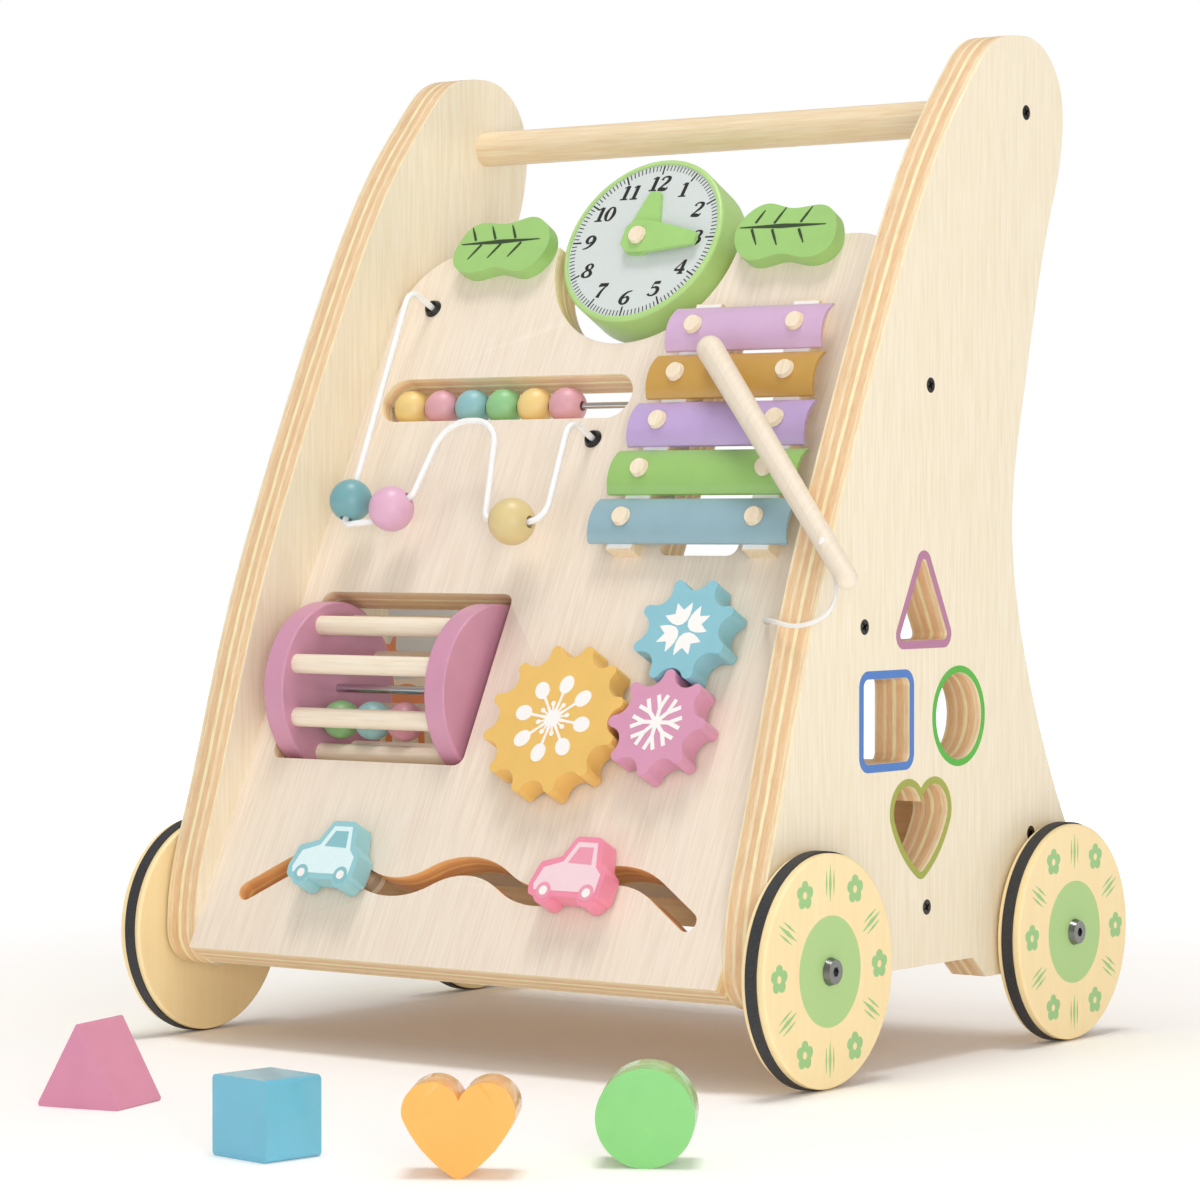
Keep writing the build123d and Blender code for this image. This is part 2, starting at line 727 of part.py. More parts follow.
# ---- play panel ----
CORD_R = 1.0
CORD_HOLE = (119.4, 169.4)
with BuildPart() as front_panel:
    with BuildSketch(panel_face) as sheet:
        Polygon((-SIDE_INNER, 0), (SIDE_INNER, 0), (SIDE_INNER, PANEL_LENGTH),
                (-SIDE_INNER, PANEL_LENGTH), align=None)
        fillet(sheet.vertices().group_by(Axis.Y)[-1], 38)
        with Locations((CLOCK_X, CLOCK_S)):
            Circle(NOTCH_R, mode=Mode.SUBTRACT)
        with Locations(((ABACUS_LEFT + ABACUS_RIGHT) / 2, ABACUS_S)):
            SlotOverall(ABACUS_RIGHT - ABACUS_LEFT, ABACUS_HEIGHT, mode=Mode.SUBTRACT)
        with Locations(((DRUM_LEFT + DRUM_RIGHT) / 2, (DRUM_LOW + DRUM_HIGH) / 2)):
            RectangleRounded(DRUM_RIGHT - DRUM_LEFT, DRUM_HIGH - DRUM_LOW, 5, mode=Mode.SUBTRACT)
        with Locations((CHIME_X + 0.5, 261.5)):
            RectangleRounded(42, 121, 5, mode=Mode.SUBTRACT)
        add(slot_outline(), mode=Mode.SUBTRACT)
    extrude(amount=-PLY)
    with BuildSketch(panel_face):
        with Locations(CORD_HOLE):
            Circle(CORD_R + 0.3)
    extrude(amount=-8, mode=Mode.SUBTRACT)
    for piece in (screw_blanks, abacus_rod, drum_axle, maze_wire, gear_pins):
        add(piece.part, mode=Mode.SUBTRACT)
save(front_panel, "front_panel")

# ---- mallet on its cord ----
MALLET_HEAD = (63.9, 293.6, 21.2)
MALLET_TAIL = (188.5, 167.3, 47.2)
HEAD_R = 6.2
TAIL_R = 4.6
head = on_panel(*MALLET_HEAD)
tail = on_panel(*MALLET_TAIL)
mallet_axis = (tail - head).normalized()
mallet_length = (tail - head).length
mallet_plane = Plane(origin=head, x_dir=mallet_axis, z_dir=mallet_axis.cross(panel_face.z_dir))
hole_at = 0.867 * mallet_length

with BuildPart() as mallet:
    with BuildSketch(mallet_plane):
        with BuildLine():
            Line((-HEAD_R, 0), (mallet_length + TAIL_R, 0))
            RadiusArc((mallet_length + TAIL_R, 0), (mallet_length, TAIL_R), -TAIL_R)
            Line((mallet_length, TAIL_R), (0, HEAD_R))
            RadiusArc((0, HEAD_R), (-HEAD_R, 0), -HEAD_R)
        make_face()
    revolve(axis=Axis(head, mallet_axis))
    with Locations(Plane(origin=head + mallet_axis * hole_at, z_dir=panel_face.z_dir)):
        Cylinder(1.6, 30, mode=Mode.SUBTRACT)
save(mallet, "mallet")

# Points of the cord from the mallet's hole to the panel's, across, up along and off the panel.
cord_points = [
    (171.9, 183.6, 37.4), (172.6, 177.0, 37.2), (176.4, 170.0, 36.6), (177.6, 162.6, 35.6),
    (174.2, 156.0, 34.6), (166.4, 152.6, 33.6), (157.4, 151.8, 32.4), (147.0, 154.6, 31.0),
    (137.2, 160.0, 20.6), (128.0, 165.2, 10.2), (119.4, 169.4, 2.4), (119.4, 169.4, -8.0),
]
route = [on_panel(*p) for p in cord_points]
runs = [(b - a) for a, b in zip(route, route[1:])]
cord_bends = []
for before, after in zip(runs, runs[1:]):
    turn = before.get_angle(after)
    cord_bends.append(0.45 * min(before.length, after.length) / tan(radians(turn / 2)))
print("cord bend radii:", [round(r, 1) for r in cord_bends])

with BuildPart() as mallet_cord:
    with BuildLine() as cord_route:
        FilletPolyline(*route, radius=cord_bends)
    with BuildSketch(cord_route.line ^ 0):
        Circle(CORD_R)
    sweep()
save(mallet_cord, "mallet_cord")
cord_length = sum(edge.length for edge in cord_route.edges())
print("cord length:", round(cord_length, 1), "volume ratio:",
      round(mallet_cord.part.volume / (pi * CORD_R ** 2 * cord_length), 4))


# ---- loose shape blocks, on the floor in front of the walker ----
def block(kind, x, y, heading, depth):
    """A sorter block standing on the floor with its outline facing its heading."""
    facing = radians(heading)
    outline = shape_outline(kind, LOOSE_PLAY.get(kind, SHAPE_PLAY), BLOCK_CORNER)
    lift = -outline.bounding_box().min.Y
    face = Plane(origin=(x, y, lift), x_dir=(cos(facing), sin(facing), 0),
                 z_dir=(sin(facing), -cos(facing), 0))
    with BuildPart() as solid:
        with BuildSketch(face):
            add(outline)
        extrude(amount=-depth)
    return solid


save(block("triangle", -39.8, -324.7, 12, 34.0), "block_triangle")
save(block("square", 99.8, -384.9, -9, 27.0), "block_square")
save(block("circle", 234.3, -313.3, 32, 28.0), "block_circle")
save(block("heart", 193.8, -372.5, 32, 26.0), "block_heart")
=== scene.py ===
"""The looks of the wooden activity baby walker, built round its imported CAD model, in metres."""
from math import acos, atan2, cos, pi, radians, sin, tan
import bmesh
import bpy
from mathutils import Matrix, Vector


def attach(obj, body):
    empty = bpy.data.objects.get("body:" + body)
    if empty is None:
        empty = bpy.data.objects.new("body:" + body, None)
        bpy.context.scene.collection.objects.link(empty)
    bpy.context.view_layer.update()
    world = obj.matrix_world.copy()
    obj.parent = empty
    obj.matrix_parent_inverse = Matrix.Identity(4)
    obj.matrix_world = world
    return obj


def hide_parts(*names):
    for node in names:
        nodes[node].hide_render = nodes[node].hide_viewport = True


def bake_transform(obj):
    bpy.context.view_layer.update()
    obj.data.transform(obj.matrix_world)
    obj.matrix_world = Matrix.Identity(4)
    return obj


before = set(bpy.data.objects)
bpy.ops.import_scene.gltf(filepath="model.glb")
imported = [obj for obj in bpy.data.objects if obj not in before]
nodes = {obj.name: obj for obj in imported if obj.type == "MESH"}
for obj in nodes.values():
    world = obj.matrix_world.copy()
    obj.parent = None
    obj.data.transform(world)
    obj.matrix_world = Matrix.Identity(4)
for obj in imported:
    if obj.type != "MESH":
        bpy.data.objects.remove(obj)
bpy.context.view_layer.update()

# The CAD model's dimensions that the materials follow, in metres.
MM = 0.001
PLY = 0.018
PANEL_TILT = radians(27.0)
PANEL_FOOT = Vector((0, -0.140, 0.0434))
PANEL_UP = Vector((0, sin(PANEL_TILT), cos(PANEL_TILT)))
PANEL_OUT = Vector((0, -cos(PANEL_TILT), sin(PANEL_TILT)))
PANEL_MIDDLE = 0.1354           # from the origin to the middle of the play panel's thickness
SIDE_MIDDLE = 0.155             # and to the middle of each side's thickness
CAR_SLOT_HEIGHT = 0.0834        # the middle of the band of heights that holds the cars' slot
CAR_SLOT_REACH = 0.028          # half of that band

# Those that the prints follow, in millimetres: S is up the play panel and H is in front of it.
DIAL_H = 5.2
LEAF_H = 8.0
RAIL_H = 8.0
CAR_H = 12.5
GEAR_H = 13.5
LEAF_S = 362.0
RIGHT_LEAF_X = 75.6
CHIME_X = 72.0
CLOCK = (-6.0, 362.5)           # X and S of its middle, as for the gears
GEAR_YELLOW = (31.7, 114.2)
GEAR_PINK = (87.3, 114.2)
GEAR_BLUE = (87.3, 158.8)
SIDE_OUTER_X = 164.0
SIDE_INNER_X = -146.0
TRIANGLE_HOLE = (-6.0, 204.7)   # Y and Z of its middle, as for the other holes
SQUARE_HOLE = (-36.2, 151.5)
CIRCLE_HOLE = (23.4, 151.5)
HEART_HOLE = (-8.2, 103.2)
HOLE_TOP = 19.25                # half the height of the circle and heart holes
WHEEL_FACE_X = 178.0
WHEEL_RADIUS = 50.0
WHEELS = {"front_left": (-1, -102.3), "front_right": (1, -102.3),      # side and Y
          "rear_left": (-1, 102.3), "rear_right": (1, 102.3)}


def on_panel(x, s, h):
    """A point x across the play panel, s up along it and h in front of it, in millimetres."""
    return Vector((x * MM, 0, 0)) + PANEL_FOOT + PANEL_UP * (s * MM) + PANEL_OUT * (h * MM)


# ---- camera ----
camera_data = bpy.data.cameras.new("camera")
camera_data.sensor_width = 36
camera_data.lens = 121.655
camera_data.clip_end = 50
camera = bpy.data.objects.new("camera", camera_data)
camera.location = (1.09871, -1.51873, 0.23694)
camera.rotation_euler = (pi / 2 - 0.0190, 0, 0.6332)
bpy.context.scene.collection.objects.link(camera)
bpy.context.scene.camera = camera


# ---- material helpers ----
def colour(code):
    """A linear RGBA colour from a hexadecimal sRGB code."""
    values = [int(code[i:i + 2], 16) / 255 for i in (0, 2, 4)]
    return [v / 12.92 if v < 0.04045 else ((v + 0.055) / 1.055) ** 2.4 for v in values] + [1]


def shaded(code, factor):
    """A colour made darker or lighter by a factor."""
    return [min(v * factor, 1) for v in colour(code)[:3]] + [1]


class Look:
    """A material, with short calls that add and join its nodes."""

    def __init__(self, name, roughness, **values):
        self.material = bpy.data.materials.new(name)
        self.material.use_nodes = True
        self.tree = self.material.node_tree
        self.shader = self.tree.nodes["Principled BSDF"]
        self.shader.inputs["Roughness"].default_value = roughness
        for socket, value in values.items():
            self.shader.inputs[socket.replace("_", " ")].default_value = value
        self.place = self.node("ShaderNodeTexCoord")

    def node(self, kind, inputs=(), **settings):
        """A new node; each of its inputs is given a link or a value."""
        made = self.tree.nodes.new(kind)
        for key, value in settings.items():
            setattr(made, key, value)
        for socket, value in dict(inputs).items():
            if isinstance(value, bpy.types.NodeSocket):
                self.tree.links.new(value, made.inputs[socket])
            else:
                made.inputs[socket].default_value = value
        return made

    def stretched(self, size, turn=0.0):
        """The piece's own coordinates, turned about X and divided by a size for each axis."""
        return self.node(
            "ShaderNodeMapping",
            {"Vector": self.place.outputs["Object"], "Rotation": (turn, 0, 0), "Scale": size},
            vector_type="TEXTURE",
        ).outputs[0]

    def noise(self, vector, detail=3.0, roughness=0.55):
        """Fractal noise from 0 to 1, one cell for each unit of the vector."""
        return self.node("ShaderNodeTexNoise", {"Vector": vector, "Scale": 1.0, "Detail": detail,
                                                "Roughness": roughness}).outputs["Fac"]

    def ramp(self, fac, stops):
        """A colour ramp with (position, colour code) stops."""
        made = self.node("ShaderNodeValToRGB", {"Fac": fac})
        elements = made.color_ramp.elements
        while len(elements) < len(stops):
            elements.new(0.5)
        for element, (position, code) in zip(elements, stops):
            element.position = position
            element.color = colour(code)
        return made.outputs["Color"]

    def mix(self, fac, a, b, kind="MIX"):
        """Two colours mixed by a factor."""
        return self.node("ShaderNodeMix", {0: fac, 6: a, 7: b}, data_type="RGBA",
                         blend_type=kind).outputs[2]

    def calc(self, kind, a, b=0.0, c=0.0):
        """A Math node's result."""
        return self.node("ShaderNodeMath", {0: a, 1: b, 2: c}, operation=kind).outputs[0]

    def along(self, output, axis):
        """How far a coordinate or normal output goes along an axis."""
        made = self.node("ShaderNodeVectorMath", {0: self.place.outputs[output], 1: axis},
                         operation="DOT_PRODUCT")
        return made.outputs["Value"]

    def paint(self, value):
        """Links the base colour."""
        self.tree.links.new(value, self.shader.inputs["Base Color"])

    def rough(self, fac, low, high):
        """Roughness that goes from low to high with a factor."""
        made = self.node("ShaderNodeMapRange", {"Value": fac, "To Min": low, "To Max": high})
        self.tree.links.new(made.outputs[0], self.shader.inputs["Roughness"])

    def bump(self, height, strength, distance):
        """Fine relief from a height, distance metres deep."""
        made = self.node("ShaderNodeBump", {"Height": height, "Strength": strength,
                                            "Distance": distance})
        self.tree.links.new(made.outputs[0], self.shader.inputs["Normal"])


def plywood(name, face_dark, face_light, axis, middle, turn=0.0, edge_tint="f0d3ab",
            slot_painted_shade=None):
    """Birch ply: fine grain on its faces, and its layers on every edge and in every hole.

    The board's middle is so far from the origin along the axis. The grain runs up a standing
    board, and up the slope of one that is turned about X. The walls of the cars' slot get a
    painted shade, darker and warmer, that stands in for shadow and bounced light in the slot.
    """
    look = Look(name, 0.42)
    fine_size, broad_size, streak_size = (
        ((0.0011, 0.030, 0.0016), (0.035, 0.30, 0.05), (0.012, 0.012, 0.0010)) if turn else
        ((0.0011, 0.0016, 0.030), (0.035, 0.05, 0.30), (0.0010, 0.009, 0.009)))
    fine = look.noise(look.stretched(fine_size, turn), 4.0, 0.62)
    broad = look.noise(look.stretched(broad_size, turn), 2.0)
    face = look.ramp(fine, [(0.34, face_dark), (0.62, face_light)])
    face = look.mix(look.calc("MULTIPLY", broad, 0.22), face, colour("f4e3c2"))
    depth = look.along("Object", axis)
    depth = look.calc("SUBTRACT", look.calc("ABSOLUTE", depth), middle - PLY / 2)
    depth = look.calc("DIVIDE", depth, PLY)
    waver = look.noise(look.stretched((0.05, 0.05, 0.05)), 2.0)
    depth = look.calc("ADD", depth, look.calc("MULTIPLY", look.calc("SUBTRACT", waver, 0.5), 0.05))
    layers = look.ramp(depth, [
        (0.00, "f6ecc9"), (0.05, "f6ecc9"), (0.08, "eac89c"), (0.24, "ebcb9f"), (0.27, "f3e2bd"),
        (0.33, "f3e2bd"), (0.36, "e6c094"), (0.50, "e8c498"), (0.53, "f7f3c8"), (0.60, "f7f3c8"),
        (0.63, "e4bd91"), (0.82, "eac99d"), (0.85, "f4e4c0"), (0.90, "efd2aa"), (0.96, "f6ecc9"),
    ])
    streak = look.noise(look.stretched(streak_size, turn), 4.0, 0.7)
    streaks = look.ramp(streak, [(0.30, "daa87a"), (0.58, "ffffff")])
    edge = look.mix(0.42, layers, streaks, "MULTIPLY")
    # The edge tint is mixed into every layer; the play panel's pale tint is partly the ply's own
    # colour and partly a painted highlight for floor light on its bottom edge.
    edge = look.mix(0.18, edge, colour(edge_tint))
    # Painted shade: within the band of the cars' slot, the edge colour is multiplied by a warm
    # darker tint, standing in for shadow and bounced light in that recess.
    if slot_painted_shade:
        height = look.along("Object", (0, 0, 1))
        slot_shade_mask = look.calc("COMPARE", height, CAR_SLOT_HEIGHT, CAR_SLOT_REACH)
        edge = look.mix(slot_shade_mask, edge, look.mix(1.0, edge, colour(slot_painted_shade), "MULTIPLY"))
    facing = look.calc("ABSOLUTE", look.along("Normal", axis))
    is_edge = look.calc("LESS_THAN", facing, 0.75)
    look.paint(look.mix(is_edge, face, edge))
    look.bump(look.mix(is_edge, fine, streak), 0.12, 0.0004)
    look.rough(broad, 0.36, 0.50)
    return look.material


def painted(name, code, roughness=0.38, grain=0.05, **values):
    """Satin paint on wood, with a little of the grain and an uneven coat showing through."""
    look = Look(name, roughness, **values)
    broad = look.noise(look.stretched((0.012, 0.012, 0.012)), 2.0)
    fine = look.noise(look.stretched((0.0008, 0.006, 0.006)), 3.0)
    look.paint(look.mix(broad, shaded(code, 0.93), shaded(code, 1.05)))
    look.bump(fine, grain, 0.0004)
    look.rough(broad, roughness - 0.03, roughness + 0.03)
    return look.material


def bare_wood(name, dark, light, size, roughness=0.5):
    """Sanded wood with its grain along the longest size."""
    look = Look(name, roughness)
    fine = look.noise(look.stretched(size), 4.0, 0.65)
    broad = look.noise(look.stretched([v * 14 for v in size]), 2.0)
    tone = look.ramp(fine, [(0.30, dark), (0.66, light)])
    look.paint(look.mix(look.calc("MULTIPLY", broad, 0.3), tone, colour(light)))
    look.bump(fine, 0.15, 0.0004)
    look.rough(broad, roughness - 0.08, roughness + 0.08)
    return look.material


def metal(name, code, roughness):
    """Drawn metal with fine marks along X."""
    look = Look(name, roughness, Metallic=1.0)
    marks = look.noise(look.stretched((0.02, 0.0004, 0.0004)), 3.0)
    look.paint(look.mix(marks, shaded(code, 0.8), colour(code)))
    look.rough(marks, max(roughness - 0.08, 0.05), roughness + 0.08)
    look.bump(marks, 0.08, 0.0001)
    return look.material


def rubber(name):
    """Matt black rubber with a fine texture."""
    look = Look(name, 0.62, Specular_IOR_Level=0.35)
    fine = look.noise(look.stretched((0.0007, 0.0007, 0.0007)), 4.0)
    look.paint(look.ramp(fine, [(0.3, "2d2d2f"), (0.7, "414143")]))
    look.bump(fine, 0.25, 0.0003)
    return look.material


def three_colours(name, splits, codes):
    """Paint that changes from ball to ball along X."""
    look = Look(name, 0.36)
    across = look.along("Object", (1, 0, 0))
    first = look.calc("LESS_THAN", across, splits[0])
    second = look.calc("LESS_THAN", across, splits[1])
    tone = look.mix(second, colour(codes[2]), colour(codes[1]))
    tone = look.mix(first, tone, colour(codes[0]))
    uneven = look.noise(look.stretched((0.004, 0.004, 0.004)), 3.0)
    shade = look.ramp(uneven, [(0.3, "f2f2f2"), (0.7, "ffffff")])
    look.paint(look.mix(1.0, tone, shade, "MULTIPLY"))
    look.bump(uneven, 0.05, 0.0003)
    look.rough(uneven, 0.30, 0.42)
    return look.material


# ---- prints: thin inked shapes that lie on a face ----
def circle(x, y, radius, points=48, squeeze=1.0, turn=0.0):
    """A circle, or an ellipse when it is squeezed, with its long axis turned."""
    angles = [2 * pi * k / points for k in range(points)]
    ring = turned([(radius * cos(a), radius * squeeze * sin(a)) for a in angles], turn)
    return [(x + u, y + v) for u, v in ring]


def turned(outline, angle):
    """An outline turned about the origin."""
    return [(u * cos(angle) - v * sin(angle), u * sin(angle) + v * cos(angle)) for u, v in outline]


def stroke(start, end, first, last, middle=None):
    """A straight stroke with its own width at each end, and one half way if that is given."""
    (x0, y0), (x1, y1) = start, end
    long = ((x1 - x0) ** 2 + (y1 - y0) ** 2) ** 0.5
    nx, ny = (y0 - y1) / long / 2, (x1 - x0) / long / 2
    middle = (first + last) / 2 if middle is None else middle
    xm, ym = (x0 + x1) / 2, (y0 + y1) / 2
    stops = [(x0, y0, first), (xm, ym, middle), (x1, y1, last)]
    left = [(x + nx * w, y + ny * w) for x, y, w in stops]
    right = [(x - nx * w, y - ny * w) for x, y, w in reversed(stops)]
    return right + left


def ribbon(points, closed=False, steps=5):
    """A smooth stroke through (x, y, width) points, as its two edges."""
    count = len(points)
    centre = []
    for k in range(count if closed else count - 1):
        before = points[k - 1] if closed or k else points[0]
        start, end = points[k], points[(k + 1) % count]
        after = points[(k + 2) % count] if closed or k + 2 < count else points[-1]
        for step in range(steps):
            t = step / steps
            centre.append([
                0.5 * (2 * b + (c - a) * t + (2 * a - 5 * b + 4 * c - d) * t ** 2
                       + (3 * b - a - 3 * c + d) * t ** 3)
                for a, b, c, d in zip(before, start, end, after)])
    if not closed:
        centre.append(list(points[-1]))
    total = len(centre)
    left, right = [], []
    for k, (x, y, width) in enumerate(centre):
        ahead = centre[(k + 1) % total] if closed or k + 1 < total else centre[k]
        behind = centre[k - 1] if closed or k else centre[k]
        dx, dy = ahead[0] - behind[0], ahead[1] - behind[1]
        long = (dx * dx + dy * dy) ** 0.5
        nx, ny = -dy / long * width / 2, dx / long * width / 2
        left.append((x + nx, y + ny))
        right.append((x - nx, y - ny))
    return left, right


def inked(name, outlines, place, material, body, low=-0.04, high=0.10, holes=(), rise=0.0):
    """One mesh of thin closed shapes, from low to high above the face that place() gives.

    An outline whose number is in holes has its hole next in the list. Each shape stands
    higher than the one before it by rise, for shapes that overlap.
    """
    mesh = bmesh.new()
    index = 0
    while index < len(outlines):
        outer = outlines[index]
        high += rise
        rings = [[mesh.verts.new(place(u, v, depth)) for u, v in outer] for depth in (low, high)]
        count = len(outer)
        walls = [rings]
        if index in holes:
            inner = outlines[index + 1]
            inside = [[mesh.verts.new(place(u, v, depth)) for u, v in inner]
                      for depth in (low, high)]
            walls.append(inside)
            for level in (0, 1):
                for k in range(count):
                    after = (k + 1) % count
                    mesh.faces.new((rings[level][k], rings[level][after],
                                    inside[level][after], inside[level][k]))
            index += 1
        else:
            mesh.faces.new(rings[0])
            mesh.faces.new(rings[1])
        for bottom, top in walls:
            for k in range(count):
                after = (k + 1) % count
                mesh.faces.new((bottom[k], bottom[after], top[after], top[k]))
        index += 1
    bmesh.ops.recalc_face_normals(mesh, faces=mesh.faces)
    data = bpy.data.meshes.new(name)
    mesh.to_mesh(data)
    mesh.free()
    data.materials.append(material)
    piece = bpy.data.objects.new(name, data)
    bpy.context.scene.collection.objects.link(piece)
    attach(piece, body)


def ink(name, code, roughness=0.45):
    """Printing ink, slightly speckled."""
    look = Look(name, roughness)
    speck = look.noise(look.stretched((0.0009, 0.0009, 0.0009)), 3.0)
    look.paint(look.mix(speck, shaded(code, 0.92), shaded(code, 1.06)))
    look.rough(speck, roughness - 0.05, roughness + 0.08)
    return look.material


# ---- materials of the CAD pieces ----
side_ply = plywood("side_ply", "f0e1c3", "f8edd6", (1, 0, 0), SIDE_MIDDLE)
# The panel's last colour, fddab2, is the painted shade on the walls of the cars' slot.
# The panel's pale edge tint, f7eccb, is partly its ply's own colour and partly painted light from
# the floor on its bottom edge.
panel_ply = plywood("panel_ply", "e6d6c5", "f0e4d5", tuple(PANEL_OUT), PANEL_MIDDLE,
                    pi / 2 - PANEL_TILT, "f7eccb", "fddab2")
birch_x = bare_wood("birch_x", "e4c79c", "f1dfc0", (0.030, 0.0014, 0.0014))
birch_turned = bare_wood("birch_turned", "e9d3b2", "f3e6cf", (0.0016, 0.012, 0.012))
tray = bare_wood("tray", "d6ae82", "e8c9a1", (0.040, 0.0025, 0.0025))
wheel_wood = bare_wood("wheel_wood", "fee2a9", "ffe9b6", (0.004, 0.0030, 0.045), 0.42)
green = painted("green_paint", "a3d07a")
leaf_green = painted("leaf_paint", "9fcb78")
rim_green = painted("rim_paint", "b2d888")
pale_wood = bare_wood("pale_wood", "e4d5bf", "ece0cd", (0.0016, 0.012, 0.012), 0.45)
dowel_wood = bare_wood("dowel_wood", "ead8bd", "f6ebd8", (0.030, 0.0014, 0.0014), 0.42)
rail_wood = bare_wood("rail_wood", "e6cba2", "f3e3c6", (0.0016, 0.0016, 0.030))

looks = {
    "side_panel_left": side_ply,
    "side_panel_right": side_ply,
    "front_panel": panel_ply,
    "bottom_board": tray,
    "back_board": tray,
    "clock_crossbar": tray,
    "handle_bar": birch_x,
    "drum_dowels": dowel_wood,
    "clock_pin": birch_turned,
    "gear_pins": birch_turned,
    "car_peg_blue": birch_turned,
    "car_peg_pink": birch_turned,
    "chime_pins": birch_turned,
    "chime_rails": rail_wood,
    "mallet": pale_wood,
    "clock_body": rim_green,
    "leaves": leaf_green,
    "hour_hand": green,
    "minute_hand": green,
    "panel_screws": metal("screw_steel", "4d4a46", 0.35),
    "wheel_bolts": metal("bolt_steel", "8b8c8a", 0.26),
    "wheel_washers": metal("washer_steel", "a9aaa6", 0.35),
    "abacus_rod": metal("rod_steel", "d4d6d9", 0.15),
    "drum_axle": metal("axle_steel", "d4d6d9", 0.15),
    "maze_wire": painted("wire_white", "f6f6f6", 0.25, 0.01),
    "maze_grommets": painted("grommet_black", "1b1b1c", 0.35, 0.02),
    "drum_discs": painted("drum_pink", "cf94ae"),
    "gear_yellow": painted("gear_yellow_paint", "eabf6a"),
    "gear_pink": painted("gear_pink_paint", "d798b5"),
    "gear_blue": painted("gear_blue_paint", "8cc3d0"),
    "car_blue": painted("car_blue_paint", "97ccd3"),
    "car_pink": painted("car_pink_paint", "f190aa"),
    "block_triangle": painted("block_pink_paint", "d98dab", 0.34, 0.04, Coat_Weight=0.15),
    "block_square": painted("block_blue_paint", "6dbcd6", 0.26, 0.04, Coat_Weight=0.3),
    "block_circle": painted("block_green_paint", "84cf79", 0.26, 0.04, Coat_Weight=0.3),
    "block_heart": painted("block_orange_paint", "f5b354", 0.24, 0.04, Coat_Weight=0.3),
    "maze_bead_teal": painted("bead_teal_paint", "76aab0"),
    "maze_bead_pink": painted("bead_pink_paint", "e1b1cb"),
    "maze_bead_yellow": painted("bead_yellow_paint", "dcc78f"),
    "rattle_balls": three_colours("rattle_paint", (-0.1005, -0.0815),
                                  ("97cd8f", "9fd0d2", "dc9dad")),
    "mallet_cord": painted("cord_plain", "f2f0ec", 0.7),
}
chime_codes = {"blue": "92b2bd", "green": "99c470", "purple": "bea5d5", "ochre": "c79c4e",
               "lilac": "d4b1d3"}
for paint, code in chime_codes.items():
    looks[f"chime_bar_{paint}"] = painted(f"chime_{paint}", code, 0.24, 0.02)
abacus_paints = {
    "yellow": painted("abacus_yellow_paint", "eed189"),
    "pink": painted("abacus_pink_paint", "dba4ae"),
    "teal": painted("abacus_teal_paint", "8fbfc4"),
    "green": painted("abacus_green_paint", "8fc78c"),
}
for number, paint in enumerate(("yellow", "pink", "teal", "green", "yellow", "pink"), start=1):
    looks[f"abacus_bead_{number}"] = abacus_paints[paint]
tyre_rubber = rubber("tyre_rubber")
for corner in WHEELS:
    looks[f"wheel_{corner}"] = wheel_wood
    looks[f"tyre_{corner}"] = tyre_rubber

for name, material in looks.items():
    slots = nodes[name].data.materials
    slots.clear()
    slots.append(material)


def soften(name, width, segments):
    """Rounds a CAD piece's sharp edges a little, as sanding does."""
    piece = nodes[name]
    weld = piece.modifiers.new("weld", "WELD")
    weld.merge_threshold = 0.00001
    bevel = piece.modifiers.new("bevel", "BEVEL")
    bevel.width = width * MM
    bevel.segments = segments
    bevel.limit_method = "ANGLE"
    bevel.angle_limit = radians(35)
    bevel.use_clamp_overlap = True
    bevel.harden_normals = True


thick_pieces = ("block_triangle", "block_square", "block_circle", "block_heart", "gear_yellow",
                "gear_pink", "gear_blue", "car_blue", "car_pink", "leaves")
boards = ("side_panel_left", "side_panel_right", "front_panel")
for names, width, segments in ((thick_pieces, 0.9, 3), (("hour_hand", "minute_hand"), 0.5, 2),
                               (boards, 0.8, 2)):
    for name in names:
        soften(name, width, segments)


# ---- the mallet's cord: a tube that bends between the panel and the mallet ----
CORD_RADIUS = 1.0
# From the mallet's hole to the blind end of the panel's hole, as x, s and h on the panel.
CORD_ROUTE = [
    (171.9, 183.6, 37.4), (172.6, 177.0, 37.2), (176.4, 170.0, 36.6), (177.6, 162.6, 35.6),
    (174.2, 156.0, 34.6), (166.4, 152.6, 33.6), (157.4, 151.8, 32.4), (147.0, 154.6, 31.0),
    (137.2, 160.0, 20.6), (128.0, 165.2, 10.2), (119.4, 169.4, 2.4), (119.4, 169.4, -8.0),
]
cord_curve = bpy.data.curves.new("tether_line", "CURVE")
cord_curve.dimensions = "3D"
cord_curve.resolution_u = 12
line = cord_curve.splines.new("NURBS")
line.points.add(len(CORD_ROUTE) - 1)
for point, (x, s, h) in zip(line.points, CORD_ROUTE):
    point.co = (*on_panel(x, s, h), 1)
line.order_u = 3
line.use_endpoint_u = True
tether_line = bpy.data.objects.new("tether_line", cord_curve)
bpy.context.scene.collection.objects.link(tether_line)


def curve_mesh():
    """The mesh of the cord's curve as it is now."""
    bpy.context.view_layer.update()
    graph = bpy.context.evaluated_depsgraph_get()
    return bpy.data.meshes.new_from_object(tether_line.evaluated_get(graph))


